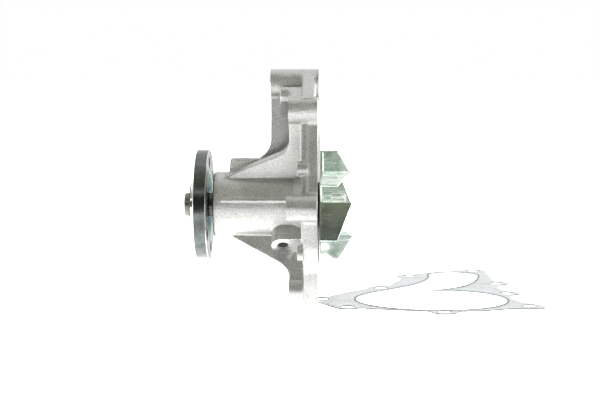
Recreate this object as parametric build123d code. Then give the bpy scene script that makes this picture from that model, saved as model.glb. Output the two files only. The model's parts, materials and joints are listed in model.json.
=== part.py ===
from build123d import *
import os
from math import asin, cos, degrees, hypot, radians, sin

# Engine coolant pump.  Millimetres.
# Origin: the shaft axis where it crosses the machined mounting face.
# +X runs along the shaft towards the impeller, +Z is up, +Y is towards the outlet.

# ---------------------------------------------------------------- driving dimensions
SHAFT_R = 7.959            # standard 15.918 mm bearing shaft
SHAFT_FRONT = -90.4
SHAFT_REAR = 18.0
FLOOR_Z = -63.8            # lowest edge of the flange, where the gasket lies

# mounting flange
RIM_T = 6.2                # rim thickness above the shaft
RIM_T_LOW = 9.3            # rim thickness below the shaft
BACK_T = 10.5              # from the mounting face to the back of the volute wall
VOLUTE_DEPTH = 6.0
VOLUTE_WALL = 3.2
BOLT_HOLE_R = 4.4          # clearance for M8
# name: (y, z, boss radius, boss front x)
BOLTS = {
    "A": (2.0, 81.5, 9.6, -32.3),
    "B": (51.0, 40.0, 9.0, -19.2),
    "C": (109.0, 16.5, 9.0, -19.2),
    "D": (136.0, -33.0, 9.0, -19.2),
    "E": (74.0, -43.5, 9.0, -19.2),
    "F": (28.0, -46.0, 9.0, -19.2),
    "G": (-26.0, -54.8, 8.6, -19.1),
    "H": (-50.0, 3.0, 8.6, -19.8),
    "I": (-31.0, 65.0, 8.6, -19.2),
}
# corners of the flange between its bolt tabs, as (y, z), clockwise from bolt A
FLANGE_CORNERS = [
    (2.0, 81.5), (15.0, 76.0), (36.0, 59.5), (52.0, 47.0), (62.0, 33.5), (94.0, 23.5),
    (109.0, 24.0), (126.0, 3.0), (132.5, -8.0), (139.0, -33.0), (130.0, -41.5), (84.0, -43.0),
    (74.0, -47.0), (51.0, -41.5), (28.0, -49.0), (8.0, -46.0), (-8.0, -49.0), (-24.0, -63.8),
    (-35.5, -63.8), (-37.0, -41.0), (-45.0, -24.0), (-48.0, -6.0), (-48.0, 12.0), (-38.0, 50.0),
    (-31.0, 65.0), (-34.8, 72.4), (-2.2, 89.8),
]
CORNER_R = 4.0

# volute and outlet, as (y, z) in the mounting face
TONGUE_TIP = (38.8, 6.6)
VOLUTE_WALL_POINTS = [      # from the tongue round the impeller and along the outlet's roof
    (39.4, 3.0), (31.0, -28.2), (0.0, -42.6), (-30.6, -30.0), (-43.2, 2.0), (-36.4, 34.0),
    (-19.0, 53.0), (2.0, 58.6), (22.0, 52.6), (42.0, 37.0), (62.0, 19.5), (84.0, 7.0),
]
TONGUE_POINTS = [(88.0, -30.0), (62.0, -19.5), (47.0, -6.5)]
OUTLET_Y, OUTLET_Z, OUTLET_R = 112.0, -16.0, 18.0
OUTLET_DEPTH = 14.0

# ribs and bosses on the casting
BRIDGE_FRONT = 10.5        # bridge between bosses A and I, back from the mounting face
BRIDGE_SETBACK = 2.7
BRIDGE_WIDTH = 18.4
LINK_FRONT = -18.6         # web that joins the stop boss to boss I
LINK_WIDTH = 11.0
STOP_BOSS = (-14.0, 74.2)
STOP_R = 5.6
STOP_FRONT = -25.3
NUB_Y, NUB_Z = -41.0, 27.5
NUB_R, NUB_FRONT = 5.0, -13.2
SEAM_ANGLE = 14.0          # mould parting line, above horizontal on the -Y side
PAD_FRONT, PAD_BACK = -59.0, -38.0
PAD_TOP = 31.6
PAD_WIDTH = 16.0
LUG_X = -23.2
LUG_R = 7.8
LUG_FACE = 33.2            # distance of the lug's face from the shaft axis
LUG_ANGLE = 41.0           # from straight down towards -Y
LUG_HOLE_R = 3.4           # tapping size for M8
LUG_HOLE_DEPTH = 12.0
WEEP_X, WEEP_R = -23.5, 2.5

SHOULDER_CORNERS = [        # thicker strip behind the rim between tabs H and I, as (y, z)
    (-46.6, 0.0), (-46.6, 12.5), (-37.0, 50.0), (-34.0, 57.0), (-20.0, 57.0), (-20.0, 0.0),
]
SEAM_W = 2.2               # parting-line rib
SEAM_FRONT, SEAM_BACK = -65.0, -12.0
RIB_ROOTS = [(-20.0, 19.0), (-30.0, 16.0)]   # where ribs end inside the snout's wall, as (x, radius)

# bearing snout
SNOUT_FRONT = -70.0
SNOUT_R_FRONT = 22.2
SNOUT_R_REAR = 23.0
BEARING_R = 15.0
BEARING_FRONT = -68.5
BEARING_LENGTH = 38.9
CHAMBER_R = 13.5           # weep chamber between bearing and seal
SEAL_BORE_R = 18.2
SEAL_BORE_FRONT = -17.5

# ribs from the snout to a bolt boss or the outlet
# name: (thickness, toe x, toe radius, boss x, elbow radius, top radius, bend radius)
WEB_TOE_R = SNOUT_R_FRONT - 0.4
WEBS = {
    "I": (6.0, -64.0, WEB_TOE_R, -19.0, 43.0, 68.0, 12.0),
    "A": (8.0, -50.0, 25.0, -32.2, 37.5, 82.0, 13.0),
    "G": (6.0, -61.0, WEB_TOE_R, -19.0, 45.5, 60.0, 13.0),
    "B": (6.0, -58.0, WEB_TOE_R, -19.0, 44.0, 64.0, 13.0),
    "F": (6.0, -52.0, WEB_TOE_R, -19.0, 39.0, 53.0, 10.0),
    "outlet": (6.0, -58.0, WEB_TOE_R, -17.0, 62.0, 96.0, 24.0),
}

# bearing insides
RACE_R = 12.9              # inner radius of the outer ring
BALL_R = 3.0
BALL_COUNT = 8
BALL_X = -58.0
BALL_PITCH_R = 10.43
ROLLER_R = 2.44
ROLLER_LENGTH = 9.0
ROLLER_COUNT = 10
ROLLER_X = -40.0
ROLLER_PITCH_R = 10.43
RUNNING_GAP = 0.04
CAGE_R_IN, CAGE_R_OUT = 9.6, 11.3
LOCK_X = -49.0             # bearing lock screw, M6
LOCK_HOLE_R = 3.0
LOCK_POINT_R = 2.0

# coolant seal
SEAL_FACE_DEPTH = 3.2      # sealing face, in front of the mounting face
SLEEVE_R = 8.45

# pulley hub
HUB_R = 37.0
HUB_FRONT = -81.8
HUB_BACK = -73.4
HUB_CHAMFER = 0.4
PILOT_R = 14.75
PILOT_FRONT = -86.4
PULLEY_PCD = 58.0
PULLEY_HOLES = 6
PULLEY_HOLE_R = 3.4
PULLEY_FIRST_ANGLE = -8.0  # from straight down, towards -Y

# impeller
PLATE_FRONT = 1.0
SHEET_T = 1.5
BLADE_OUTER_R = 36.9
BLADE_INNER_R = 24.6
BLADE_SWEEP = 44.5         # degrees from a blade's outer end to its inner end
BLADE_FIRST_ANGLE = -94.5  # outer end, from -Y towards +Z
BLADE_COUNT = 6
BLADE_OUTER_X = 12.9
BLADE_INNER_X = 22.6
BLADE_BOW = 0.6            # how far a blade bows from its chord
NECK_T = 1.4
NECK_END = 9.0
RELIEF_PITCH_R = 13.6
RELIEF_HOLE_R = 2.0

# gasket, the flange laid down flat
GASKET_X, GASKET_Y = 83.9, -4.3   # where the shaft axis of the flange outline falls
GASKET_TURN = 1.3          # how far the gasket lies turned on the floor, in degrees
GASKET_T = 0.6
BEAD_W = 1.5
BEAD_T = 0.9
GASKET_HOLE_R = 4.5


STANDING = (Align.CENTER, Align.CENTER, Align.MIN)


# ---------------------------------------------------------------- helpers
def station(x):
    """Sketch plane across the shaft at x; its own axes are Y and Z."""
    return Plane(origin=(x, 0, 0), x_dir=(0, 1, 0), z_dir=(1, 0, 0))


def rod(x0, x1, r, y=0.0, z=0.0):
    """Round bar parallel to the shaft, from x0 to x1."""
    return extrude(station(x0) * Pos(y, z) * Circle(r), amount=x1 - x0)


def slab(sketch, x0, x1):
    """A (y, z) sketch made solid between two stations."""
    return extrude(station(x0) * sketch, amount=x1 - x0)


def turned(*points):
    """Solid of revolution about the shaft from an (x, radius) outline."""
    outline = make_face(Polyline(*points, close=True))
    return revolve(Plane.XZ * outline, Axis.X)


def washer(x0, x1, r_in, r_out):
    return turned((x0, r_in), (x1, r_in), (x1, r_out), (x0, r_out))


def radial_plane(y, z):
    """Plane that holds the shaft axis and the point (y, z): local x is X, local y is outward."""
    reach = hypot(y, z)
    out = Vector(0, y / reach, z / reach)
    return Plane(origin=(0, 0, 0), x_dir=(1, 0, 0), z_dir=Vector(1, 0, 0).cross(out))


def web(y, z, thickness, outline):
    """Flat rib in the plane through the shaft axis and (y, z); outline is (x, radius)."""
    face = make_face(outline)
    return extrude(radial_plane(y, z) * face, amount=thickness / 2, both=True)


def save(node, shape):
    shape.label = node
    export_step(shape, f"parts/{node}.step")


def grown(sketch, margin):
    """The same outline moved outwards by margin, drawn with plain splines."""
    wider = offset(sketch, amount=margin, kind=Kind.ARC).faces()[0]
    return Sketch() + wider.to_splines()


# ---------------------------------------------------------------- flange outlines
def flange_outline(hole_r):
    """Rim of the mounting flange with its nine bolt tabs and their holes."""
    shape = Sketch() + make_face(Polyline(*FLANGE_CORNERS, close=True))
    for y, z, boss_r, _ in BOLTS.values():
        shape += Pos(y, z) * Circle(boss_r)
    shape = offset(shape, amount=CORNER_R, kind=Kind.ARC)
    shape = offset(shape, amount=-CORNER_R, kind=Kind.ARC)
    for y, z, _, _ in BOLTS.values():
        shape -= Pos(y, z) * Circle(hole_r)
    return shape


def volute_outline():
    """Spiral round the impeller that opens into the round outlet."""
    outlet_top = (OUTLET_Y - 2.0, OUTLET_Z + OUTLET_R - 0.1)
    outlet_foot = (OUTLET_Y - 4.0, OUTLET_Z - OUTLET_R + 0.45)
    wall = Spline(*VOLUTE_WALL_POINTS, outlet_top)
    outlet = ThreePointArc(outlet_top, (OUTLET_Y + OUTLET_R, OUTLET_Z), outlet_foot)
    tongue = Spline(outlet_foot, *TONGUE_POINTS, TONGUE_TIP)
    tip = Line(TONGUE_TIP, VOLUTE_WALL_POINTS[0])
    return make_face(Curve() + [wall, outlet, tongue, tip])


# ---------------------------------------------------------------- housing casting
def deepening_duct(sketch, volute_x, outlet_x):
    """Solid under a (y, z) sketch, level at volute_x and sloping to outlet_x at the outlet."""
    slope_start, slope_end, far_end = 48.0, 92.0, 160.0
    near_end = -80.0
    profile = make_face(Polyline(
        (0.0, near_end), (0.0, far_end), (outlet_x, far_end), (outlet_x, slope_end),
        (volute_x, slope_start), (volute_x, near_end), close=True,
    ))
    wedge = extrude(Plane.XY * profile, amount=120.0, both=True)
    return slab(sketch, outlet_x, 0.0) & wedge


def elbow_web(target, thickness, toe_x, toe_r, boss_x, elbow_r, top_r, bend):
    """Rib from a toe on the snout up to an elbow, then along the front of a boss."""
    y, z = target
    outline = make_face(Polyline(
        (toe_x, 14.0), (toe_x, toe_r), (boss_x, elbow_r), (boss_x, top_r), (-3.0, top_r),
        (-3.0, 19.0), *RIB_ROOTS, close=True,
    ))
    elbow = outline.vertices().sort_by_distance((boss_x, elbow_r, 0.0))[0]
    rounded = fillet(elbow, radius=bend)
    return extrude(radial_plane(y, z) * rounded, amount=thickness / 2, both=True)


def snout():
    """Tapered tube that carries the bearing, with a flare where it meets the volute."""
    end_chamfer = 0.8
    flare_x, flare_r = -9.0, 27.0
    return turned(
        (SNOUT_FRONT, 0.0), (SNOUT_FRONT, SNOUT_R_FRONT - end_chamfer),
        (SNOUT_FRONT + end_chamfer, SNOUT_R_FRONT), (-16.0, SNOUT_R_REAR),
        (flare_x, flare_r), (flare_x, 0.0),
    )


def bolt_site(name):
    y, z, _, _ = BOLTS[name]
    return y, z


def webs():
    """Cast ribs that tie the snout to the bolt bosses and the outlet duct."""
    sites = {name: bolt_site(name) for name in BOLTS}
    sites["outlet"] = (OUTLET_Y, OUTLET_Z)
    return [elbow_web(sites[name], *sizes) for name, sizes in WEBS.items()]


def snout_details():
    """Lock-screw pad, parting-line rib and radial bracket lug on the snout."""
    pad = web(0.0, 1.0, PAD_WIDTH, Polyline(
        (PAD_FRONT - 1.6, 14.0), (PAD_FRONT, PAD_TOP), (PAD_BACK, PAD_TOP), (PAD_BACK, 14.0), close=True,
    ))
    seam_y, seam_z = -cos(radians(SEAM_ANGLE)), sin(radians(SEAM_ANGLE))
    seam = web(seam_y, seam_z, SEAM_W, Polyline(
        (SEAM_FRONT, 14.0), (SEAM_FRONT, SNOUT_R_FRONT + 0.6), (SEAM_BACK, SNOUT_R_REAR + 0.9),
        (SEAM_BACK, 19.0), *RIB_ROOTS, close=True,
    ))
    plane = lug_plane(SNOUT_R_REAR - 5.0)
    foot = Pos(LUG_X, 0) * Circle(LUG_R)
    foot += Pos((LUG_X - 8.0) / 2, 0) * Rectangle(-8.0 - LUG_X, 2 * LUG_R)
    lug = extrude(plane * foot, amount=LUG_FACE - SNOUT_R_REAR + 5.0)
    return [pad, seam, lug]


def lug_plane(radius):
    """Plane across the bracket lug at a distance from the shaft; local x is X."""
    out = Vector(0, -sin(radians(LUG_ANGLE)), -cos(radians(LUG_ANGLE)))
    return Plane(origin=out * radius, x_dir=(1, 0, 0), z_dir=out)


def flange_details():
    """Lower rim, bridge between bosses A and I, stop boss and two cast nubs."""
    lower_half = Pos(40.0, -60.0 + 3.0) * Rectangle(240.0, 120.0)
    low_rim = slab(flange_outline(BOLT_HOLE_R) & lower_half, -RIM_T_LOW, 0.0)
    bridge = slab(band(bolt_site("I"), bolt_site("A"), BRIDGE_WIDTH), -BRIDGE_FRONT, -1.0)
    link = slab(band(bolt_site("I"), STOP_BOSS, LINK_WIDTH), LINK_FRONT, -3.0)
    stop_y, stop_z = STOP_BOSS
    stop = rod(STOP_FRONT, -3.0, STOP_R, stop_y, stop_z)
    root = 0.3
    nubs = [rod(NUB_FRONT, root - rim_t, NUB_R, NUB_Y, z) for rim_t, z in ((RIM_T, NUB_Z), (RIM_T_LOW, -NUB_Z))]
    shoulder = slab(make_face(Polyline(*SHOULDER_CORNERS, close=True)), -BACK_T, -3.0)
    return [low_rim, bridge, link, stop, shoulder, *nubs]


def band(start, end, width):
    """Rectangle of the given width along the line between two (y, z) points."""
    run_y, run_z = end[0] - start[0], end[1] - start[1]
    length = hypot(run_y, run_z)
    middle = Pos((start[0] + end[0]) / 2, (start[1] + end[1]) / 2)
    return middle * Rot(0, 0, degrees(asin(run_z / length))) * Rectangle(length, width)


def housing():
    volute = volute_outline()
    shell = grown(volute, VOLUTE_WALL)
    body = slab(flange_outline(BOLT_HOLE_R), -RIM_T, 0.0)
    body += deepening_duct(shell, -BACK_T, -OUTLET_DEPTH - 4.0)
    body += snout()
    for y, z, boss_r, front in BOLTS.values():
        body += rod(front, 0.0, boss_r, y, z)
    for piece in webs() + snout_details() + flange_details():
        body += piece
    body -= deepening_duct(volute, -VOLUTE_DEPTH, -OUTLET_DEPTH)
    body -= slab(below_the_bridge(), -BRIDGE_SETBACK, 0.0)
    body -= rod(SNOUT_FRONT - 1.0, BEARING_FRONT + BEARING_LENGTH + 0.1, BEARING_R)
    body -= rod(BEARING_FRONT + BEARING_LENGTH, SEAL_BORE_FRONT, CHAMBER_R)
    body -= rod(SEAL_BORE_FRONT, 0.0, SEAL_BORE_R)
    for y, z, _, front in BOLTS.values():
        body -= rod(front - 40.0, 1.0, BOLT_HOLE_R, y, z)
    body -= extrude(lug_plane(LUG_FACE - LUG_HOLE_DEPTH) * Pos(LUG_X, 0) * Circle(LUG_HOLE_R), amount=20.0)
    body -= Pos(LOCK_X, 0, 14.0) * Cylinder(LOCK_HOLE_R, 20.0, align=STANDING)
    body -= Pos(WEEP_X, 0, -30.0) * Cylinder(WEEP_R, 24.0, align=STANDING)
    floor_cut = Pos(0, 0, FLOOR_Z - 10.0) * Box(60.0, 400.0, 20.0)
    return body - floor_cut


def below_the_bridge():
    """Strip of the rim between bolt tabs A and I that stands back from the mounting face."""
    a_y, a_z, a_r, _ = BOLTS["A"]
    i_y, i_z, i_r, _ = BOLTS["I"]
    strip = make_face(Polyline(
        (a_y, a_z - 10.0), (a_y, a_z + 12.0), (i_y - 6.0, i_z + 12.0), (i_y - 6.0, i_z + 4.0), (i_y, i_z - 2.0),
        (-18.0, 63.5), close=True,
    ))
    return strip - Pos(a_y, a_z) * Circle(a_r) - Pos(i_y, i_z) * Circle(i_r)


# ---------------------------------------------------------------- shaft bearing
def ring_of(count, radius):
    """Positions spaced evenly round the shaft, each as (angle in degrees, y, z)."""
    for index in range(count):
        angle = 360.0 * index / count
        yield angle, radius * cos(radians(angle)), radius * sin(radians(angle))


def ball_groove():
    return station(BALL_X) * Torus(BALL_PITCH_R, BALL_R + RUNNING_GAP)


def shaft():
    """Bearing shaft with its ball groove and chamfered ends."""
    chamfer_len = 0.8
    bar = turned(
        (SHAFT_FRONT, 0.0), (SHAFT_FRONT, SHAFT_R - chamfer_len), (SHAFT_FRONT + chamfer_len, SHAFT_R),
        (SHAFT_REAR - chamfer_len, SHAFT_R), (SHAFT_REAR, SHAFT_R - chamfer_len), (SHAFT_REAR, 0.0),
    )
    return bar - ball_groove()


def bearing_outer_ring():
    ring = washer(BEARING_FRONT, BEARING_FRONT + BEARING_LENGTH, RACE_R, BEARING_R)
    dimple = Pos(LOCK_X, 0, BEARING_R - 0.9) * Cylinder(LOCK_POINT_R + 0.1, 5.0, align=STANDING)
    return ring - ball_groove() - dimple


def bearing_balls():
    return Compound(children=[
        Pos(BALL_X, y, z) * Sphere(BALL_R) for _, y, z in ring_of(BALL_COUNT, BALL_PITCH_R)
    ])


def ball_cage():
    cage = washer(BALL_X - 4.0, BALL_X + 4.0, CAGE_R_IN, CAGE_R_OUT)
    for _, y, z in ring_of(BALL_COUNT, BALL_PITCH_R):
        cage -= Pos(BALL_X, y, z) * Sphere(BALL_R + 0.08)
    return cage


def bearing_rollers():
    half = ROLLER_LENGTH / 2
    return Compound(children=[
        rod(ROLLER_X - half, ROLLER_X + half, ROLLER_R, y, z)
        for _, y, z in ring_of(ROLLER_COUNT, ROLLER_PITCH_R)
    ])


def roller_cage():
    half = ROLLER_LENGTH / 2
    cage = washer(ROLLER_X - half - 1.6, ROLLER_X + half + 1.6, CAGE_R_IN, CAGE_R_OUT)
    for _, y, z in ring_of(ROLLER_COUNT, ROLLER_PITCH_R):
        cage -= rod(ROLLER_X - half - 0.1, ROLLER_X + half + 0.1, ROLLER_R + 0.08, y, z)
    return cage


def bearing_seal(x0):
    """Thin lip seal set inside one end of the outer ring."""
    return washer(x0, x0 + 1.6, SHAFT_R + RUNNING_GAP + 0.02, RACE_R)


def bearing_lock_screw():
    """Socket set screw whose dog point keys the outer ring in the snout."""
    length = PAD_TOP - 1.6 - BEARING_R - 0.2
    body = Pos(LOCK_X, 0, BEARING_R + 0.2) * Cylinder(LOCK_HOLE_R - 0.04, length, align=STANDING)
    point = Pos(LOCK_X, 0, BEARING_R - 0.7) * Cylinder(LOCK_POINT_R, 0.9, align=STANDING)
    socket_plane = Plane(origin=(LOCK_X, 0, PAD_TOP - 1.6 - 3.0), z_dir=(0, 0, 1))
    socket = extrude(socket_plane * RegularPolygon(1.7, 6), amount=4.0)
    return body + point - socket


# ---------------------------------------------------------------- coolant seal
def seal_cup():
    front, flange_x, sheet = SEAL_BORE_FRONT, -VOLUTE_DEPTH, 0.8
    outer = SEAL_BORE_R
    return turned(
        (front, 10.6), (front, outer), (flange_x, outer), (flange_x, outer + 2.2),
        (flange_x + sheet, outer + 2.2), (flange_x + sheet, outer - sheet),
        (front + sheet, outer - sheet), (front + sheet, 10.6),
    )


def seal_bellows():
    """Rubber sleeve between the cup and the carbon ring, thickest at its two ends."""
    front = SEAL_BORE_FRONT + 0.8
    return turned(
        (front, 10.8), (front, 15.8), (front + 1.2, 15.8), (front + 1.2, 12.4), (-9.6, 12.4),
        (-9.6, 13.0), (-8.4, 13.0), (-8.4, 10.8),
    )


def seal_spring():
    """Compression spring that presses the carbon ring on its seat."""
    wire_r = 0.7
    turns = 3
    front = SEAL_BORE_FRONT + 2.0 + wire_r + 0.05
    length = -9.1 - wire_r - front
    path = Helix(pitch=length / turns, height=length, radius=14.4)
    start = Plane(origin=path @ 0, z_dir=path % 0)
    coil = sweep(start * Circle(wire_r), path=path)
    return station(front) * coil


def seal_ring_shell():
    return washer(-8.4, -7.6, 10.9, 16.4)


def seal_ring():
    """Stationary carbon ring with a narrow raised face."""
    face_x = -SEAL_FACE_DEPTH - RUNNING_GAP
    return turned(
        (-7.6, 10.2), (-7.6, 15.6), (-4.6, 15.6), (-4.6, 13.4), (face_x, 13.4), (face_x, 10.6),
        (-4.6, 10.2),
    )


def mating_ring():
    return washer(-SEAL_FACE_DEPTH, -0.4, 9.8, 15.4)


def mating_ring_boot():
    """Rubber boot that carries the hard ring and seats it against the impeller."""
    return turned(
        (-SEAL_FACE_DEPTH, SLEEVE_R), (-SEAL_FACE_DEPTH, 9.8), (-0.4, 9.8), (-0.4, 15.4),
        (PLATE_FRONT, 15.4), (PLATE_FRONT, SLEEVE_R),
    )


def seal_sleeve():
    return washer(-15.0, PLATE_FRONT, SHAFT_R, SLEEVE_R)


def slinger():
    """Pressed disc that throws leaked coolant into the weep chamber."""
    return turned(
        (-25.8, SHAFT_R), (-25.8, SHAFT_R + 0.9), (-24.2, SHAFT_R + 0.9), (-24.2, 12.0),
        (-23.4, 12.0), (-23.4, SHAFT_R),
    )


# ---------------------------------------------------------------- pulley hub
def pulley_hub():
    pilot_chamfer = 0.8
    hub = turned(
        (PILOT_FRONT, SHAFT_R), (PILOT_FRONT, PILOT_R - pilot_chamfer), (PILOT_FRONT + pilot_chamfer, PILOT_R),
        (HUB_FRONT, PILOT_R), (HUB_FRONT, HUB_R - HUB_CHAMFER), (HUB_FRONT + HUB_CHAMFER, HUB_R),
        (HUB_BACK - HUB_CHAMFER, HUB_R), (HUB_BACK, HUB_R - HUB_CHAMFER), (HUB_BACK, SHAFT_R),
    )
    for index in range(PULLEY_HOLES):
        angle = radians(PULLEY_FIRST_ANGLE + 360.0 * index / PULLEY_HOLES)
        y, z = -PULLEY_PCD / 2 * sin(angle), -PULLEY_PCD / 2 * cos(angle)
        hub -= rod(HUB_FRONT - 1.0, HUB_BACK + 1.0, PULLEY_HOLE_R, y, z)
    return hub


# ---------------------------------------------------------------- impeller
def wheel_point(angle, radius):
    """(y, z) at an angle in degrees from -Y towards +Z."""
    return Vector(-radius * cos(radians(angle)), radius * sin(radians(angle)), 0)


class Blade:
    """Plan geometry of one blade: its ends, its chord and the way it bows."""

    def __init__(self, index):
        angle = BLADE_FIRST_ANGLE + 360.0 * index / BLADE_COUNT
        self.outer = wheel_point(angle, BLADE_OUTER_R)
        self.inner = wheel_point(angle + BLADE_SWEEP, BLADE_INNER_R)
        self.previous_inner = wheel_point(angle + BLADE_SWEEP - 360.0 / BLADE_COUNT, BLADE_INNER_R)
        chord = self.inner - self.outer
        self.length = chord.length
        self.along = chord.normalized()
        middle = (self.outer + self.inner) * 0.5
        side = Vector(-self.along.Y, self.along.X, 0)
        self.out = side if side.dot(middle) > 0 else -side

    def arc(self, shift):
        """Blade line in plan, moved outwards by shift."""
        middle = (self.outer + self.inner) * 0.5 + self.out * (BLADE_BOW + shift)
        return ThreePointArc(self.outer + self.out * shift, middle, self.inner + self.out * shift)

    def foot(self):
        """Arm of the back plate that reaches out to the blade."""
        edge = self.arc(0.0)
        sides = Polyline(self.inner, (0, 0), self.previous_inner, self.outer)
        return make_face(Curve() + [edge, sides])

    def wall(self):
        """Upright blade, trimmed by the slope of its free edge."""
        half = SHEET_T / 2
        outside, inside = self.arc(half), self.arc(-half)
        ends = [Line(outside @ 0, inside @ 0), Line(outside @ 1, inside @ 1)]
        strip = make_face(Curve() + [outside, inside, *ends])
        upright = slab(strip, PLATE_FRONT, BLADE_INNER_X)
        start = Vector(0, self.outer.X, self.outer.Y)
        along = Vector(0, self.along.X, self.along.Y)
        side = Plane(origin=start, x_dir=along, z_dir=along.cross(Vector(1, 0, 0)))
        slope = (BLADE_INNER_X - BLADE_OUTER_X) / self.length
        reach = 3.0
        trim = make_face(Polyline(
            (-reach, 0.0), (self.length + reach, 0.0),
            (self.length + reach, BLADE_INNER_X + slope * reach), (-reach, BLADE_OUTER_X - slope * reach),
            close=True,
        ))
        return upright & extrude(side * trim, amount=12.0, both=True)


def impeller():
    """Pressed wheel: star-shaped back plate, six bent-up blades and a drawn neck on the shaft."""
    blades = [Blade(index) for index in range(BLADE_COUNT)]
    plate = Sketch() + Circle(BLADE_INNER_R * 0.96)
    for blade in blades:
        plate += blade.foot()
    wheel = slab(plate, PLATE_FRONT, PLATE_FRONT + SHEET_T)
    for blade in blades:
        wheel += blade.wall()
    wheel += rod(PLATE_FRONT, NECK_END, SHAFT_R + NECK_T)
    wheel -= rod(PLATE_FRONT - 1.0, NECK_END + 1.0, SHAFT_R)
    for side in (-1, 1):
        relief = wheel_point(BLADE_FIRST_ANGLE, side * RELIEF_PITCH_R)
        wheel -= rod(PLATE_FRONT - 1.0, PLATE_FRONT + SHEET_T + 1.0, RELIEF_HOLE_R, relief.X, relief.Y)
    return wheel


# ---------------------------------------------------------------- gasket
def gasket_plane(height):
    """Plane on the floor whose local axes are the flange's Y and Z, with Z laid along -X."""
    turn = radians(GASKET_TURN)
    origin = (GASKET_X, GASKET_Y, FLOOR_Z + height)
    return Plane(origin=origin, x_dir=(-sin(turn), cos(turn), 0), z_dir=(0, 0, 1))


def gasket_plate():
    sheet = flange_outline(GASKET_HOLE_R) - grown(volute_outline(), BEAD_W)
    return extrude(gasket_plane((BEAD_T - GASKET_T) / 2) * sheet, amount=GASKET_T)


def gasket_bead():
    """Moulded sealing bead round the opening, a little thicker than the sheet."""
    volute = volute_outline()
    ring = grown(volute, BEAD_W) - volute
    return extrude(gasket_plane(0.0) * ring, amount=BEAD_T)


# ---------------------------------------------------------------- write every node
NODES = {
    "housing": housing,
    "shaft": shaft,
    "bearing_outer_ring": bearing_outer_ring,
    "bearing_balls": bearing_balls,
    "ball_cage": ball_cage,
    "bearing_rollers": bearing_rollers,
    "roller_cage": roller_cage,
    "bearing_front_seal": lambda: bearing_seal(BEARING_FRONT + 0.3),
    "bearing_rear_seal": lambda: bearing_seal(BEARING_FRONT + BEARING_LENGTH - 1.9),
    "bearing_lock_screw": bearing_lock_screw,
    "slinger": slinger,
    "seal_cup": seal_cup,
    "seal_bellows": seal_bellows,
    "seal_spring": seal_spring,
    "seal_ring_shell": seal_ring_shell,
    "seal_ring": seal_ring,
    "mating_ring": mating_ring,
    "mating_ring_boot": mating_ring_boot,
    "seal_sleeve": seal_sleeve,
    "pulley_hub": pulley_hub,
    "impeller": impeller,
    "gasket_plate": gasket_plate,
    "gasket_bead": gasket_bead,
}

os.makedirs("parts", exist_ok=True)
for node, build in NODES.items():
    save(node, build())
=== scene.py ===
import bpy
import bmesh
import json
from math import cos, hypot, pi, radians, sin
from mathutils import Matrix, Vector


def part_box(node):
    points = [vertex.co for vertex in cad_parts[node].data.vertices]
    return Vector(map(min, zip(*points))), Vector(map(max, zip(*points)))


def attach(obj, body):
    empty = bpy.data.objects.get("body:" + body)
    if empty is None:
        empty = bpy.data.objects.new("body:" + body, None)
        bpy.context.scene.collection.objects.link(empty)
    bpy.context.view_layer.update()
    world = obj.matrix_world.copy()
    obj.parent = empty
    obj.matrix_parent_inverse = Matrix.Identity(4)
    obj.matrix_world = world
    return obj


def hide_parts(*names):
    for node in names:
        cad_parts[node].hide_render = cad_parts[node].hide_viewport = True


# Engine coolant pump.  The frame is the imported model's: metres, origin where the shaft axis
# crosses the mounting face, +X towards the impeller, +Z up.

MM = 0.001

# ---------------------------------------------------------------- sizes shared with the model, in mm
# bolt bosses: (y, z, boss radius, front x)
BOLTS = {
    "A": (2.0, 81.5, 9.6, -32.3),
    "B": (51.0, 40.0, 9.0, -19.2),
    "C": (109.0, 16.5, 9.0, -19.2),
    "D": (136.0, -33.0, 9.0, -19.2),
    "E": (74.0, -43.5, 9.0, -19.2),
    "F": (28.0, -46.0, 9.0, -19.2),
    "G": (-26.0, -54.8, 8.6, -19.1),
    "H": (-50.0, 3.0, 8.6, -19.8),
    "I": (-31.0, 65.0, 8.6, -19.2),
}
BOLT_HOLE_R = 4.4
SNOUT_FRONT, SNOUT_R = -70.0, 22.2
BEARING_R, BEARING_END = 15.0, -29.5
CHAMBER_R = 13.5
SEAL_BORE_R, SEAL_BORE_FRONT = 18.2, -17.5
LUG_X, LUG_R, LUG_FACE, LUG_ANGLE, LUG_HOLE_R, LUG_HOLE_DEPTH = -23.2, 7.8, 33.2, 41.0, 3.4, 12.0
LOCK_X, LOCK_HOLE_R, PAD_TOP = -49.0, 3.0, 31.6
WEEP_X, WEEP_R = -23.5, 2.5

SHAFT_R, SHAFT_FRONT, SHAFT_REAR = 7.959, -90.4, 18.0
HUB_R, HUB_FRONT, HUB_BACK = 37.0, -81.8, -73.4
PILOT_R, PILOT_FRONT = 14.75, -86.4
PULLEY_PCD, PULLEY_HOLES, PULLEY_HOLE_R, PULLEY_FIRST_ANGLE = 58.0, 6, 3.4, -8.0

GASKET_X, GASKET_Y, GASKET_TURN, GASKET_HOLE_R = 83.9, -4.3, 1.3, 4.5

CAST_CELL = 0.65           # fineness of the casting's skin
CAST_ROUNDS = 4            # how far its edges are worn round


# light levels, where 1 is the white of the background
# The floor glows at 2.6 except for a dim strip from Y -0.15 to -0.08 m in front of the pump, which is a painted shadow
# of the pump on the table.
FLOOR_GLOW_AND_SHADOW = ((-0.40, 2.6), (-0.17, 2.6), (-0.15, 1.05), (-0.08, 1.05), (-0.06, 2.6), (0.10, 2.6))
SKY_MID, SKY_TOP = (1.1, 1.1, 1.1), (1.5, 1.5, 1.5)
FRONT_DARK, FRONT_SIDE = (0.09, 0.095, 0.05), (0.36, 0.36, 0.30)


# ---------------------------------------------------------------- small helpers
def add_object(name, mesh):
    piece = bpy.data.objects.new(name, mesh)
    bpy.context.scene.collection.objects.link(piece)
    return piece


def apply_modifiers(piece):
    """Turns a piece's modifiers into its own mesh."""
    graph = bpy.context.evaluated_depsgraph_get()
    done = bpy.data.meshes.new_from_object(piece.evaluated_get(graph))
    piece.modifiers.clear()
    piece.data = done
    return piece


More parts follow.
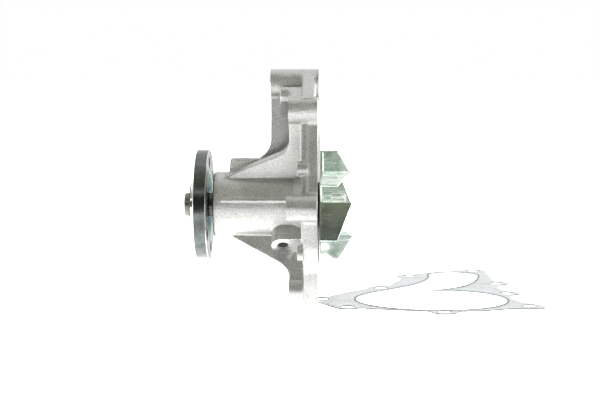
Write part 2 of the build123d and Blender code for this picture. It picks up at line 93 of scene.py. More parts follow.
def shade_smooth(piece, angle=35.0):
    """Smooth shading with a sharp edge where two faces meet at more than the angle."""
    for polygon in piece.data.polygons:
        polygon.use_smooth = True
    piece.data.set_sharp_from_angle(angle=radians(angle))


def lathe(points, sides=96, place=Matrix.Identity(4)):
    """Closed solid of revolution about X from (x, radius) points in mm, as a bmesh."""
    solid = bmesh.new()
    rings = []
    for x, radius in points:
        ring = []
        for index in range(sides):
            turn = 2 * pi * index / sides
            spot = Vector((x, radius * cos(turn), radius * sin(turn))) * MM
            ring.append(solid.verts.new(place @ spot))
        rings.append(ring)
    for first, second in zip(rings, rings[1:]):
        for index in range(sides):
            after = (index + 1) % sides
            solid.faces.new((first[index], first[after], second[after], second[index]))
    if points[0] == points[-1]:
        bmesh.ops.remove_doubles(solid, verts=solid.verts, dist=1e-7)
    else:
        solid.faces.new(rings[0])
        solid.faces.new(rings[-1])
    bmesh.ops.recalc_face_normals(solid, faces=solid.faces)
    return solid


def rod(x0, x1, radius, y=0.0, z=0.0, sides=64):
    """Closed round bar parallel to the shaft."""
    return lathe([(x0, radius), (x1, radius)], sides, Matrix.Translation(Vector((0.0, y, z)) * MM))


def radial_bar(x, angle, r0, r1, radius, sides=48):
    """Closed round bar that points away from the shaft; angle runs from straight down towards -Y."""
    out = Vector((0.0, -sin(radians(angle)), -cos(radians(angle))))
    turn = Vector((1, 0, 0)).rotation_difference(out).to_matrix().to_4x4()
    return lathe([(r0, radius), (r1, radius)], sides, Matrix.Translation(Vector((x, 0, 0)) * MM) @ turn)


def block(low, high):
    """Closed box between two corners in mm, as a bmesh."""
    box = bmesh.new()
    bmesh.ops.create_cube(box, size=1.0)
    size = Vector(high) - Vector(low)
    middle = (Vector(high) + Vector(low)) / 2
    box.transform(Matrix.Translation(middle * MM) @ Matrix.Diagonal((*(size * MM), 1.0)))
    return box


def joined(name, shapes):
    """One object from several bmeshes, which are freed."""
    mesh = bpy.data.meshes.new(name)
    whole = bmesh.new()
    for shape in shapes:
        part = bpy.data.meshes.new("part")
        shape.to_mesh(part)
        shape.free()
        whole.from_mesh(part)
        bpy.data.meshes.remove(part)
    whole.to_mesh(mesh)
    whole.free()
    return add_object(name, mesh)


def cut(piece, shapes):
    """Takes closed shapes that don't touch each other out of a piece."""
    tool = joined("cutter", shapes)
    boolean = piece.modifiers.new("cut", "BOOLEAN")
    boolean.operation = "DIFFERENCE"
    boolean.solver = "MANIFOLD"
    boolean.object = tool
    apply_modifiers(piece)
    bpy.data.objects.remove(tool)


def cad_copy(name, node):
    """New object with a welded copy of a CAD node's mesh."""
    source = frame["nodes"][node]
    copy = bmesh.new()
    copy.from_mesh(source.data)
    copy.transform(source.matrix_world)
    bmesh.ops.remove_doubles(copy, verts=copy.verts, dist=1e-6)
    return joined(name, [copy])


def recast(piece, cell, rounds):
    """Gives a piece one closed skin of even cells with softened edges."""
    skin = piece.modifiers.new("skin", "REMESH")
    skin.mode = "VOXEL"
    skin.voxel_size = cell * MM
    worn = piece.modifiers.new("worn", "SMOOTH")
    worn.factor = 0.5
    worn.iterations = rounds
    return apply_modifiers(piece)


# ---------------------------------------------------------------- node materials
class Surface:
    """A material with one Principled shader and short ways to add texture nodes to it."""

    def __init__(self, name, **sockets):
        self.material = bpy.data.materials.new(name)
        self.material.use_nodes = True
        self.tree = self.material.node_tree
        self.shader = self.tree.nodes["Principled BSDF"]
        for socket, value in sockets.items():
            self.shader.inputs[socket.replace("_", " ")].default_value = value
        self.place = self.tree.nodes.new("ShaderNodeTexCoord").outputs["Object"]

    def node(self, kind, settings=None, **sockets):
        made = self.tree.nodes.new(kind)
        for key, value in (settings or {}).items():
            setattr(made, key, value)
        for socket, value in sockets.items():
            target = made.inputs[socket.replace("_", " ")]
            if isinstance(value, bpy.types.NodeSocket):
                self.tree.links.new(value, target)
            else:
                target.default_value = value
        return made

    def noise(self, size_mm, detail=3.0, roughness=0.5):
        """Soft random values, with features about size_mm across."""
        return self.node(
            "ShaderNodeTexNoise", Vector=self.place, Scale=1.0 / (size_mm * MM), Detail=detail, Roughness=roughness,
        ).outputs["Fac"]

    def streaks(self, sizes_mm):
        """Noise drawn out by a different length along each axis."""
        stretched = self.node("ShaderNodeMapping", Vector=self.place)
        stretched.inputs["Scale"].default_value = [1.0 / (size * MM) for size in sizes_mm]
        return self.node("ShaderNodeTexNoise", Vector=stretched.outputs[0], Scale=1.0, Detail=2.0).outputs["Fac"]

    def axes(self):
        return self.node("ShaderNodeSeparateXYZ", Vector=self.place).outputs[:]

    def ramp(self, value, stops):
        """Colour or grey ramp from (position, value) stops."""
        made = self.node("ShaderNodeValToRGB", Fac=value)
        points = made.color_ramp.elements
        while len(points) < len(stops):
            points.new(0.5)
        for point, (position, shade) in zip(points, stops):
            point.position = position
            point.color = (*shade, 1.0) if isinstance(shade, tuple) else (shade, shade, shade, 1.0)
        return made.outputs["Color"]

    def mix(self, amount, first, second, blend="MIX"):
        made = self.node("ShaderNodeMix", {"data_type": "RGBA", "blend_type": blend})
        for index, value in ((0, amount), (6, first), (7, second)):
            if isinstance(value, bpy.types.NodeSocket):
                self.tree.links.new(value, made.inputs[index])
            elif index == 0:
                made.inputs[index].default_value = value
            else:
                made.inputs[index].default_value = (*value, 1.0)
        return made.outputs[2]

    def math(self, operation, first, second=0.0):
        made = self.node("ShaderNodeMath", {"operation": operation})
        for index, value in enumerate((first, second)):
            if isinstance(value, bpy.types.NodeSocket):
                self.tree.links.new(value, made.inputs[index])
            else:
                made.inputs[index].default_value = value
        return made.outputs[0]

    def bump(self, height, depth_mm, strength=1.0, under=None):
        sockets = {"Height": height, "Distance": depth_mm * MM, "Strength": strength}
        if under is not None:
            sockets["Normal"] = under
        return self.node("ShaderNodeBump", **sockets).outputs["Normal"]

    def set(self, socket, value):
        self.tree.links.new(value, self.shader.inputs[socket])


def cast_aluminium():
    """Bead-blasted casting: soft mottling, fine bright and dark grain, a few pits, and a painted shadow line along the
    snout's front edge.
    """
    look = Surface("cast_aluminium", Metallic=0.85)
    mottle = look.noise(14.0, detail=4.0)
    grain = look.noise(0.7, detail=2.0, roughness=0.7)
    pores = look.noise(1.6, detail=1.0)
    tone = look.ramp(mottle, [(0.3, (0.45, 0.453, 0.44)), (0.7, (0.57, 0.573, 0.555))])
    speck = look.ramp(grain, [(0.30, 0.52), (0.50, 0.93), (0.72, 1.18)])
    tone = look.mix(1.0, tone, speck, "MULTIPLY")
    pit = look.ramp(pores, [(0.22, 0.4), (0.28, 1.0)])
    tone = look.mix(1.0, tone, pit, "MULTIPLY")
    # Painted shade: the casting goes nearly black within about 0.6 mm of the snout's front face, a painted shadow line
    # along that edge that fades out by 0.84 mm.
    from_front = look.math("ADD", look.axes()[0], -SNOUT_FRONT * MM)
    ragged = look.math("ADD", look.math("MULTIPLY", from_front, 500.0), look.math("MULTIPLY", grain, 0.1))
    look.set("Base Color", look.mix(1.0, tone, look.ramp(ragged, [(0.30, 0.08), (0.42, 1.0)]), "MULTIPLY"))
    look.set("Roughness", look.ramp(mottle, [(0.3, 0.40), (0.7, 0.50)]))
    rough = look.bump(grain, 0.12, 0.8)
    look.set("Normal", look.bump(pores, 0.14, 0.5, under=rough))
    return look.material


def machined_aluminium():
    """Bright cut face with fine feed lines."""
    look = Surface("machined_aluminium", Metallic=1.0)
    lines = look.node(
        "ShaderNodeTexWave", {"wave_type": "RINGS", "rings_direction": "X"},
        Vector=look.place, Scale=260.0, Distortion=0.6, Detail=1.0,
    ).outputs["Fac"]
    patch = look.noise(9.0)
    look.set("Base Color", look.ramp(patch, [(0.3, (0.72, 0.72, 0.71)), (0.7, (0.82, 0.82, 0.81))]))
    look.set("Roughness", look.ramp(lines, [(0.0, 0.24), (1.0, 0.36)]))
    look.set("Normal", look.bump(lines, 0.01, 0.5))
    return look.material


def turned_metal(name, low, high, roughness):
    """Turned or ground metal: streaks that run round the shaft over soft patches."""
    look = Surface(name, Metallic=1.0)
    patch = look.noise(7.0, detail=3.0)
    streaks = look.streaks((0.12, 6.0, 6.0))
    tone = look.ramp(patch, [(0.3, low), (0.7, high)])
    look.set("Base Color", look.mix(1.0, tone, look.ramp(streaks, [(0.3, 0.86), (0.7, 1.0)]), "MULTIPLY"))
    look.set("Roughness", look.ramp(streaks, [(0.3, roughness - 0.05), (0.7, roughness + 0.07)]))
    look.set("Normal", look.bump(streaks, 0.008, 0.4))
    return look.material


def hub_steel():
    """Dark satin rim of the hub."""
    look = Surface("hub_steel", Metallic=1.0)
    patch = look.noise(5.0, detail=3.0)
    streaks = look.streaks((0.15, 5.0, 5.0))
    look.set("Base Color", look.ramp(patch, [(0.3, (0.075, 0.084, 0.080)), (0.7, (0.12, 0.133, 0.128))]))
    look.set("Roughness", look.ramp(streaks, [(0.3, 0.18), (0.7, 0.30)]))
    look.set("Normal", look.bump(streaks, 0.008, 0.5))
    return look.material


def tarnished_zinc():
    """Grey plating of the hub's back face, blue and green with heat near the shaft."""
    look = Surface("tarnished_zinc", Metallic=1.0)
    patch = look.noise(5.0, detail=3.0)
    streaks = look.streaks((0.15, 5.0, 5.0))
    bright = look.ramp(patch, [(0.3, (0.40, 0.42, 0.41)), (0.7, (0.56, 0.58, 0.57))])
    _, y, z = look.axes()
    reach = look.math("SQRT", look.math("ADD", look.math("POWER", y, 2.0), look.math("POWER", z, 2.0)))
    ragged = look.math("ADD", reach, look.math("MULTIPLY", patch, 0.006))
    tint = look.ramp(look.math("MULTIPLY", ragged, 1.0 / 0.040), [
        (0.0, (0.04, 0.30, 0.62)), (0.40, (0.04, 0.40, 0.70)), (0.50, (0.16, 0.70, 0.42)), (0.60, (1.0, 1.0, 1.0)),
    ])
    look.set("Base Color", look.mix(1.0, bright, tint, "MULTIPLY"))
    look.set("Specular Tint", look.mix(1.0, tint, (0.24, 0.25, 0.24), "MULTIPLY"))
    look.set("Roughness", look.ramp(streaks, [(0.3, 0.24), (0.7, 0.36)]))
    look.set("Normal", look.bump(streaks, 0.008, 0.5))
    return look.material


def plated_sheet(name, low, high, roughness, tint, scratched=0.80, rubbed=None):
    """Pressed sheet: cloudy plating, drawn scratches and a slight wave in the surface."""
    look = Surface(name, Metallic=0.9)
    cloud = look.noise(8.0, detail=4.0)
    scratch = look.streaks((3.0, 0.25, 3.0))
    swell = look.noise(16.0, detail=1.0)
    tone = look.ramp(cloud, [(0.3, low), (0.55, high), (0.75, tint)])
    if rubbed:
        worn = look.ramp(look.streaks((12.0, 4.0, 2.0)), [(0.62, 0.0), (0.66, 1.0)])
        tone = look.mix(worn, tone, rubbed)
    look.set("Base Color", look.mix(1.0, tone, look.ramp(scratch, [(0.3, scratched), (0.6, 1.0)]), "MULTIPLY"))
    look.set("Roughness", look.ramp(cloud, [(0.3, roughness - 0.06), (0.7, roughness + 0.08)]))
    fine = look.bump(scratch, 0.012, 0.4)
    look.set("Normal", look.bump(swell, 0.5, 0.25, under=fine))
    return look.material


def moulded(name, low, high, roughness, grain_mm, coat=0.0):
    """Rubber, nylon, carbon or ceramic: patchy tone with its own fine grain."""
    look = Surface(name, Metallic=0.0, Coat_Weight=coat)
    patch = look.noise(4.0, detail=3.0)
    grain = look.noise(grain_mm, detail=2.0)
    look.set("Base Color", look.ramp(patch, [(0.3, low), (0.7, high)]))
    look.set("Roughness", look.ramp(grain, [(0.3, roughness - 0.06), (0.7, roughness + 0.08)]))
    look.set("Normal", look.bump(grain, 0.03, 0.5))
    return look.material


def black_oxide():
    """Blackened steel with brown rubbed spots."""
    look = Surface("black_oxide", Metallic=0.2)
    patch = look.noise(1.5, detail=3.0)
    look.set("Base Color", look.ramp(patch, [(0.35, (0.010, 0.010, 0.011)), (0.7, (0.035, 0.029, 0.023))]))
    look.set("Roughness", look.ramp(patch, [(0.3, 0.32), (0.7, 0.5)]))
    look.set("Normal", look.bump(look.noise(0.3), 0.01, 0.5))
    return look.material


def sheared_edge():
    """Torn edge of a stamped sheet. Its near-black colour is partly painted shade along the gasket's edges."""
    look = Surface("sheared_edge", Metallic=0.0, Specular_IOR_Level=0.1)
    torn = look.streaks((0.3, 0.3, 0.1))
    look.set("Base Color", look.ramp(torn, [(0.3, (0.010, 0.013, 0.013)), (0.7, (0.035, 0.042, 0.040))]))
    look.set("Roughness", look.ramp(torn, [(0.3, 0.45), (0.7, 0.65)]))
    look.set("Normal", look.bump(torn, 0.03, 0.6))
    return look.material


def make_materials():
    return {
        "cast_aluminium": cast_aluminium(),
        "machined_aluminium": machined_aluminium(),
        "bearing_steel": turned_metal("bearing_steel", (0.15, 0.15, 0.135), (0.22, 0.22, 0.20), 0.34),
        "hub_steel": hub_steel(),
        "hub_back": tarnished_zinc(),
        "bright_steel": turned_metal("bright_steel", (0.70, 0.71, 0.69), (0.86, 0.87, 0.85), 0.2),
        "zinc_plate": plated_sheet(
            "zinc_plate", (0.52, 0.59, 0.53), (0.68, 0.76, 0.70), 0.18, (0.60, 0.62, 0.50), rubbed=(0.95, 0.97, 0.96),
        ),
        "stainless": plated_sheet("stainless", (0.55, 0.55, 0.54), (0.66, 0.66, 0.65), 0.22, (0.60, 0.60, 0.60)),
        "gasket_steel": plated_sheet(
            "gasket_steel", (0.56, 0.59, 0.59), (0.70, 0.73, 0.73), 0.28, (0.64, 0.69, 0.70), 0.95,
        ),
        "sheared_edge": sheared_edge(),
        "cage_polymer": moulded("cage_polymer", (0.28, 0.21, 0.12), (0.36, 0.28, 0.17), 0.5, 0.4),
        "seal_rubber": moulded("seal_rubber", (0.016, 0.016, 0.016), (0.035, 0.035, 0.034), 0.6, 0.25),
        "bead_rubber": moulded("bead_rubber", (0.20, 0.23, 0.26), (0.30, 0.33, 0.36), 0.45, 0.3),
        "carbon": moulded("carbon", (0.03, 0.03, 0.034), (0.06, 0.06, 0.064), 0.3, 0.15, coat=0.2),
        "ceramic_face": moulded("ceramic_face", (0.12, 0.12, 0.13), (0.20, 0.20, 0.22), 0.2, 0.2, coat=0.4),
        "black_oxide": black_oxide(),
    }


# ---------------------------------------------------------------- casting
def face_pads(piece, x, lift):
    """Prisms over every flat face of a mesh that lies in the plane at x and looks along +X."""
    pads = bmesh.new()
    pads.from_mesh(piece.data)
    flat = [face for face in pads.faces
            if face.normal.x > 0.99 and abs(face.calc_center_median().x - x * MM) < 1e-5]
    chosen = set(flat)
    others = [face for face in pads.faces if face not in chosen]
    bmesh.ops.delete(pads, geom=others, context="FACES")
    for vertex in pads.verts:
        vertex.co.x -= 0.5 * MM
    grown = bmesh.ops.extrude_face_region(pads, geom=pads.faces[:], use_keep_orig=True)
    for item in grown["geom"]:
        if isinstance(item, bmesh.types.BMVert):
            item.co.x += (lift + 0.5) * MM
    bmesh.ops.recalc_face_normals(pads, faces=pads.faces)
    return pads


def casting_fillers():
    """Stock that closes the holes and stands proud of every face that is cut afterwards."""
    stock = []
    for y, z, boss_r, front in BOLTS.values():
        stock.append(rod(front - 1.2, 0.8, BOLT_HOLE_R + 0.6, y, z))
        stock.append(rod(front - 1.2, front + 1.5, boss_r - 0.05, y, z))
    stock.append(rod(SNOUT_FRONT - 1.2, SNOUT_FRONT + 2.0, SNOUT_R - 0.3, sides=96))
    stock.append(rod(SNOUT_FRONT - 1.0, BEARING_END + 1.0, BEARING_R + 0.8))
    stock.append(rod(BEARING_END, SEAL_BORE_FRONT + 1.0, CHAMBER_R + 0.8))
    stock.append(rod(SEAL_BORE_FRONT, -6.6, SEAL_BORE_R + 0.8))
    stock.append(radial_bar(LUG_X, LUG_ANGLE, LUG_FACE - LUG_HOLE_DEPTH - 1.0, LUG_FACE + 0.8, LUG_HOLE_R + 0.6))
    stock.append(radial_bar(LUG_X, LUG_ANGLE, LUG_FACE - 2.0, LUG_FACE + 0.8, LUG_R - 0.1))
    stock.append(radial_bar(LOCK_X, 180.0, 14.0, PAD_TOP - 0.3, LOCK_HOLE_R + 0.5))
    stock.append(radial_bar(WEEP_X, 0.0, 12.0, SNOUT_R + 0.3, WEEP_R + 0.5))
    return stock


def casting_cuts():
    """Machining: faces, bolt holes, stepped bore, and the drilled holes, drawn without thread."""
    last_cut = 1.6
    yield [block((0.0, -100.0, -100.0), (10.0, 180.0, 120.0)), block((-90.0, -90.0, -90.0), (10.0, 180.0, -63.79))]
    yield [rod(front - 6.0, front, boss_r + last_cut, y, z) for y, z, boss_r, front in BOLTS.values()] + [
        rod(SNOUT_FRONT - 6.0, SNOUT_FRONT, SNOUT_R + last_cut, sides=96),
        radial_bar(LUG_X, LUG_ANGLE, LUG_FACE, LUG_FACE + 6.0, LUG_R + last_cut),
    ]
    holes = []
    for y, z, _, front in BOLTS.values():
        holes.append(lathe(
            [(front - 2.0, BOLT_HOLE_R + 0.5), (front, BOLT_HOLE_R + 0.5), (front + 0.5, BOLT_HOLE_R),
             (-0.5, BOLT_HOLE_R), (0.0, BOLT_HOLE_R + 0.5), (2.0, BOLT_HOLE_R + 0.5)],
            64, Matrix.Translation(Vector((0.0, y, z)) * MM),
        ))
    yield holes
    yield [lathe([
        (SNOUT_FRONT - 2.0, BEARING_R + 0.7), (SNOUT_FRONT, BEARING_R + 0.7), (SNOUT_FRONT + 0.7, BEARING_R),
        (BEARING_END, BEARING_R), (BEARING_END, CHAMBER_R), (SEAL_BORE_FRONT, CHAMBER_R),
        (SEAL_BORE_FRONT, SEAL_BORE_R), (2.0, SEAL_BORE_R),
    ], 128)]
    yield [
        radial_bar(LUG_X, LUG_ANGLE, LUG_FACE - LUG_HOLE_DEPTH, LUG_FACE + 4.0, LUG_HOLE_R),
        radial_bar(LOCK_X, 180.0, 14.0, PAD_TOP + 4.0, LOCK_HOLE_R),
        radial_bar(WEEP_X, 0.0, 12.0, SNOUT_R + 4.0, WEEP_R),
    ]
    yield [radial_bar(LUG_X, LUG_ANGLE, LUG_FACE - 0.8, LUG_FACE + 2.0, LUG_HOLE_R + 0.7)]


def is_machined(centre, normal):
    """Whether a face of the casting (centre in mm) lies where a cutter passed."""
    edge = 0.02
    if normal.x > 0.99 and abs(centre.x) < edge:
        return True
    if normal.x < -0.99 and abs(centre.x - SNOUT_FRONT) < edge:
        return True
    for y, z, _, front in BOLTS.values():
        away = hypot(centre.y - y, centre.z - z)
        if away < BOLT_HOLE_R + 0.6 or (normal.x < -0.99 and away < 14.0 and abs(centre.x - front) < edge):
            return True
    reach = hypot(centre.y, centre.z)
    if reach < SEAL_BORE_R + edge and centre.x < -6.0:
        return True
    out = Vector((0.0, -sin(radians(LUG_ANGLE)), -cos(radians(LUG_ANGLE))))
    return abs(centre.dot(out) - LUG_FACE) < edge and normal.dot(out) > 0.99 and abs(centre.x - LUG_X) < 12.0


def casting(cast, machined):
    """The housing as it leaves the foundry and the mill."""
    piece = cad_copy("casting", "housing")
    pads = face_pads(piece, 0.0, 1.2)
    stock = joined("stock", [*casting_fillers(), pads])
    whole = bmesh.new()
    whole.from_mesh(piece.data)
    whole.from_mesh(stock.data)
    whole.to_mesh(piece.data)
    whole.free()
    bpy.data.objects.remove(stock)
    recast(piece, CAST_CELL, CAST_ROUNDS)
    for shapes in casting_cuts():
        cut(piece, shapes)
    piece.data.materials.clear()
    piece.data.materials.append(cast)
    piece.data.materials.append(machined)
    for polygon in piece.data.polygons:
        polygon.material_index = int(is_machined(polygon.center / MM, polygon.normal))
    shade_smooth(piece, 40.0)
    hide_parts("housing")
    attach(piece, "casing")


# ---------------------------------------------------------------- turned and pressed pieces
def pulley_hub(steel, oxide, back, bright):
    """Turned hub with its centring pilot and tapped pulley holes."""
    chamfer, edge = 0.8, 0.4
    outline = [
        (PILOT_FRONT, SHAFT_R), (PILOT_FRONT, PILOT_R - chamfer), (PILOT_FRONT + chamfer, PILOT_R),
        (HUB_FRONT - 0.3, PILOT_R), (HUB_FRONT, PILOT_R + 0.3), (HUB_FRONT, HUB_R - edge),
        (HUB_FRONT + edge, HUB_R), (HUB_BACK - edge, HUB_R), (HUB_BACK, HUB_R - edge),
        (HUB_BACK, SHAFT_R + 0.6), (HUB_BACK - 0.6, SHAFT_R), (PILOT_FRONT, SHAFT_R),
    ]
    piece = joined("turned_hub", [lathe(outline, 160)])
    pitch, depth = 1.25, 0.35
    thread = [(HUB_FRONT - 1.0, PULLEY_HOLE_R + 0.5), (HUB_FRONT, PULLEY_HOLE_R + 0.5)]
    x = HUB_FRONT + 0.5
    while x < HUB_BACK - 0.6:
        thread += [(x, PULLEY_HOLE_R), (x + pitch / 2, PULLEY_HOLE_R + depth)]
        x += pitch
    thread += [(HUB_BACK, PULLEY_HOLE_R + 0.5), (HUB_BACK + 1.0, PULLEY_HOLE_R + 0.5)]
    turns = [radians(PULLEY_FIRST_ANGLE + 360.0 * index / PULLEY_HOLES) for index in range(PULLEY_HOLES)]
    axes = [(-PULLEY_PCD / 2 * sin(turn), -PULLEY_PCD / 2 * cos(turn)) for turn in turns]
    cut(piece, [lathe(thread, 40, Matrix.Translation(Vector((0.0, y, z)) * MM)) for y, z in axes])
    dress(piece, steel, "pulley_hub", "rotor", 30.0)
    for material in (oxide, back, bright):
        piece.data.materials.append(material)
    for polygon in piece.data.polygons:
        spot = polygon.center / MM
        bevelled = 0.2 < abs(polygon.normal.x) < 0.97
        if min(hypot(spot.y - y, spot.z - z) for y, z in axes) < PULLEY_HOLE_R + 0.6:
            polygon.material_index = 1
        elif polygon.normal.x > 0.97:
            polygon.material_index = 2
        elif spot.x < HUB_FRONT - 0.5 and abs(polygon.normal.x) > 0.2:
            polygon.material_index = 1
        elif bevelled or spot.x < HUB_FRONT - 0.1:
            polygon.material_index = 3


def bearing_shaft(steel, bright):
    """Ground shaft with chamfered ends, a centre drilling in each and the ball groove."""
    chamfer, drill_r, drill_depth, tip = 0.8, 2.0, 2.6, 0.1
    groove_x, groove_pitch_r, groove_r, steps = -58.0, 10.43, 3.04, 8
    half = (groove_r ** 2 - (groove_pitch_r - SHAFT_R) ** 2) ** 0.5
    groove = []
    for step in range(steps + 1):
        offset = half * (2.0 * step / steps - 1.0)
        groove.append((groove_x + offset, groove_pitch_r - (groove_r ** 2 - offset ** 2) ** 0.5))
    outline = [
        (SHAFT_FRONT + drill_depth, tip), (SHAFT_FRONT, drill_r), (SHAFT_FRONT, SHAFT_R - chamfer),
        (SHAFT_FRONT + chamfer, SHAFT_R), *groove, (0.0, SHAFT_R), (SHAFT_REAR - chamfer, SHAFT_R),
        (SHAFT_REAR, SHAFT_R - chamfer), (SHAFT_REAR, drill_r), (SHAFT_REAR - drill_depth, tip),
    ]
    piece = joined("ground_shaft", [lathe(outline, 128)])
    dress(piece, steel, "shaft", "rotor", 30.0)
    piece.data.materials.append(bright)
    for polygon in piece.data.polygons:
        polygon.material_index = int(polygon.center.x > 0.0)


def pressed_impeller(zinc):
    """Sheet wheel with edges rounded by the press and a reamed bore."""
    piece = cad_copy("pressed_impeller", "impeller")
    recast(piece, 0.3, 5)
    cut(piece, [rod(-5.0, 20.0, SHAFT_R)])
    dress(piece, zinc, "impeller", "rotor", 50.0)


def flange_spot(y, z, height):
    """Place on the gasket, in mm, of a point of the flange."""
    turn = radians(GASKET_TURN)
    x = GASKET_X - z * cos(turn) - y * sin(turn)
    return Vector((x, GASKET_Y - z * sin(turn) + y * cos(turn), height))


def embossed_gasket(sheet, torn, rubber):
    """Stamped sheet with a raised ring round each bolt hole, and its moulded bead."""
    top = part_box("gasket_plate")[1].z / MM
    ring_r, ring_w, ring_h = GASKET_HOLE_R + 1.1, 0.45, 0.14
    upright = Matrix.Rotation(radians(-90.0), 4, "Y")
    rings = []
    for y, z, _, _ in BOLTS.values():
        outline = [(-0.1, ring_r - ring_w), (ring_h, ring_r - ring_w / 2), (ring_h, ring_r + ring_w / 2),
                   (-0.1, ring_r + ring_w), (-0.1, ring_r - ring_w)]
        spot = Matrix.Translation(flange_spot(y, z, top) * MM)
        rings.append(lathe(outline, 48, spot @ upright))
    plate = cad_copy("stamped_gasket", "gasket_plate")
    soften(plate, 0.22, 2)
    stamped = bmesh.new()
    stamped.from_mesh(plate.data)
    bpy.data.objects.remove(plate)
    piece = joined("embossed_gasket", [stamped, *rings])
    dress(piece, sheet, "gasket_plate", "gasket", 30.0)
    # The sheet's edge faces take the near-black edge material. This is a torn edge, darkened further as painted shade
    # along the gasket's edge.
    piece.data.materials.append(torn)
    for polygon in piece.data.polygons:
        below_top = polygon.center.z < (top - 0.01) * MM
        polygon.material_index = int(below_top and abs(polygon.normal.z) < 0.95)
    bead = cad_copy("moulded_bead", "gasket_bead")
    soften(bead, 0.35, 4)
    dress(bead, rubber, "gasket_bead", "gasket", 50.0)


def soften(piece, width, segments):
    edge = piece.modifiers.new("edge", "BEVEL")
    edge.width = width * MM
    edge.segments = segments
    edge.limit_method = "ANGLE"
    edge.angle_limit = radians(40.0)
    return apply_modifiers(piece)


def dress(piece, material, node, body, angle):
    """Shades a finished piece and puts it in a CAD node's place."""
    piece.data.materials.clear()
    piece.data.materials.append(material)
    shade_smooth(piece, angle)
    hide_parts(node)
    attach(piece, body)


# ---------------------------------------------------------------- camera, floor and light
def aim(thing, target):
    thing.rotation_mode = "QUATERNION"
    thing.rotation_quaternion = (Vector(target) - thing.location).to_track_quat("-Z", "Y")


def camera():
    data = bpy.data.cameras.new("camera")
    data.lens = 96.0
    data.sensor_width = 36.0
    data.clip_start = 0.01
    eye = bpy.data.objects.new("camera", data)
    bpy.context.scene.collection.objects.link(eye)
    eye.location = (0.02415, -1.072, 0.1083)
    yaw, pitch = radians(1.97), radians(5.59)
    forward = Vector((-sin(yaw) * cos(pitch), cos(yaw) * cos(pitch), -sin(pitch)))
    eye.rotation_mode = "QUATERNION"
    eye.rotation_quaternion = forward.to_track_quat("-Z", "Y")
    bpy.context.scene.camera = eye


def area_light(name, place, target, size, power, colour=(1.0, 1.0, 1.0)):
    data = bpy.data.lights.new(name, "AREA")
    data.shape = "RECTANGLE"
    data.size, data.size_y = size
    data.energy = power
    data.color = colour
    lamp = bpy.data.objects.new(name, data)
    bpy.context.scene.collection.objects.link(lamp)
    lamp.location = place
    aim(lamp, target)


def card(name, corners, low, high, glow=()):
    """Flat card from four corners, in metres; its glow, if any, is given at steps of Y."""
    mesh = bpy.data.meshes.new(name)
    mesh.from_pydata(corners, [], [(0, 1, 2, 3)])
    piece = add_object(name, mesh)
    paint = Surface(f"{name}_paint", Roughness=0.8)
    paint.set("Base Color", paint.ramp(paint.noise(60.0), [(0.3, low), (0.7, high)]))
    paint.shader.inputs["Emission Color"].default_value = (1.0, 1.0, 1.0, 1.0)
    if glow:
        y = paint.axes()[1]
        first, last = glow[0][0], glow[-1][0]
        along = paint.math("DIVIDE", paint.math("SUBTRACT", y, first), last - first)
        paint.set("Emission Strength", paint.ramp(along, [((at - first) / (last - first), power) for at, power in glow]))
    mesh.materials.append(paint.material)
    return piece


def room():
    """World light: white behind and level, dim overhead, dark on the camera's side."""
    world = bpy.data.worlds.new("room")
    bpy.context.scene.world = world
    world.use_nodes = True
    nodes, links = world.node_tree.nodes, world.node_tree.links
    way = nodes.new("ShaderNodeTexCoord")
    split = nodes.new("ShaderNodeSeparateXYZ")
    links.new(way.outputs["Generated"], split.inputs[0])
    shades = []
    for axis, stops in (
        ("Z", [(0.0, (1.0, 1.0, 1.0)), (0.53, (1.0, 1.0, 1.0)), (0.62, SKY_MID), (1.0, SKY_TOP)]),
        ("Y", [(0.0, FRONT_DARK), (0.3, FRONT_SIDE), (0.6, (1.0, 1.0, 1.0))]),
    ):
        half = nodes.new("ShaderNodeMath")
        half.operation = "MULTIPLY_ADD"
        links.new(split.outputs[axis], half.inputs[0])
        half.inputs[1].default_value = 0.5
        half.inputs[2].default_value = 0.5
        ramp = nodes.new("ShaderNodeValToRGB")
        links.new(half.outputs[0], ramp.inputs["Fac"])
        points = ramp.color_ramp.elements
        while len(points) < len(stops):
            points.new(0.5)
        for point, (position, shade) in zip(points, stops):
            point.position = position
            point.color = (*shade, 1.0)
        shades.append(ramp.outputs["Color"])
    blend = nodes.new("ShaderNodeMix")
    blend.data_type = "RGBA"
    blend.blend_type = "MULTIPLY"
    blend.inputs[0].default_value = 1.0
    links.new(shades[0], blend.inputs[6])
    links.new(shades[1], blend.inputs[7])
    links.new(blend.outputs[2], nodes["Background"].inputs["Color"])


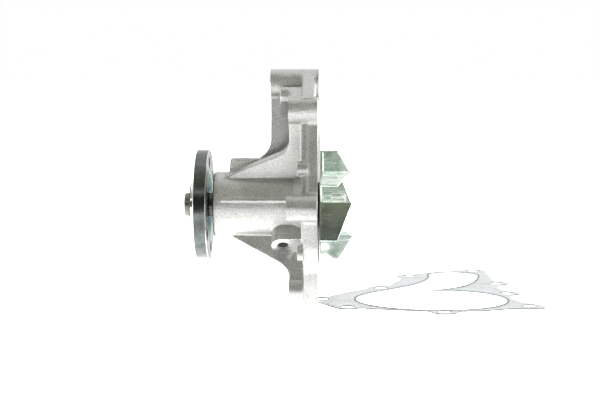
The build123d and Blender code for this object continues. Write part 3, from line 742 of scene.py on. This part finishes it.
def studio(floor_z):
    """Glowing white table with a painted shadow strip in front of the pump, a shaded room, and near-black cards that
    are hidden from the camera and serve as painted shade in front of the pump and its blades.
    """
    reach = 6.0
    card("floor", [(-reach, -reach, floor_z), (reach, -reach, floor_z), (reach, reach, floor_z), (-reach, reach, floor_z)],
         0.88, 0.92, FLOOR_GLOW_AND_SHADOW)
    # Two near-black cards hidden from the camera are painted shade: one across the front of the pump and a small one in
    # front of the impeller blades. Faces turned towards them reflect dark.
    shade_cards = {"front_shade_card": (-0.60, 0.0, -0.32, floor_z + 0.002, 0.16), "blade_shade_card": (0.006, 0.05, -0.12, -0.055, 0.02)}
    for name, (left, right, away, low, high) in shade_cards.items():
        corners = [(left, away, low), (right, away, low), (right, away, high), (left, away, high)]
        card(name, corners, 0.010, 0.015).visible_camera = False
    area_light("rim_softbox", (-0.25, -0.50, 0.30), (-0.01, -0.03, 0.03), (0.25, 0.15), 0.3)
    room()
    bpy.context.scene.view_settings.view_transform = "Standard"


# ---------------------------------------------------------------- build
def main_scene():
    looks = make_materials()
    slots = {part["node"]: part["material_slot"] for part in frame["record"]["subparts"]}
    for name, node in frame["nodes"].items():
        node.data.materials.clear()
        node.data.materials.append(looks[slots[name]])
        edge = node.modifiers.new("edge", "BEVEL")
        edge.width = 0.12 * MM
        edge.segments = 2
        edge.limit_method = "ANGLE"
    casting(looks["cast_aluminium"], looks["machined_aluminium"])
    pulley_hub(looks["hub_steel"], looks["black_oxide"], looks["hub_back"], looks["bright_steel"])
    bearing_shaft(looks["bearing_steel"], looks["bright_steel"])
    pressed_impeller(looks["zinc_plate"])
    embossed_gasket(looks["gasket_steel"], looks["sheared_edge"], looks["bead_rubber"])


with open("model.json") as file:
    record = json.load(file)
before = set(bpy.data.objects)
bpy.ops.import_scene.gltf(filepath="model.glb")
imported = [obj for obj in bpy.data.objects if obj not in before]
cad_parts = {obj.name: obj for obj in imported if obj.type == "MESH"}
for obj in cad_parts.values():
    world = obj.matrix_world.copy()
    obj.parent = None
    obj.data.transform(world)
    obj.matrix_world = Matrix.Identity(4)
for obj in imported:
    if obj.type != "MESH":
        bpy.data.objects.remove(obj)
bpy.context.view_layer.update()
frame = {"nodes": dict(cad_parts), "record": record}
camera()
studio(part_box("gasket_bead")[0].z)
main_scene()
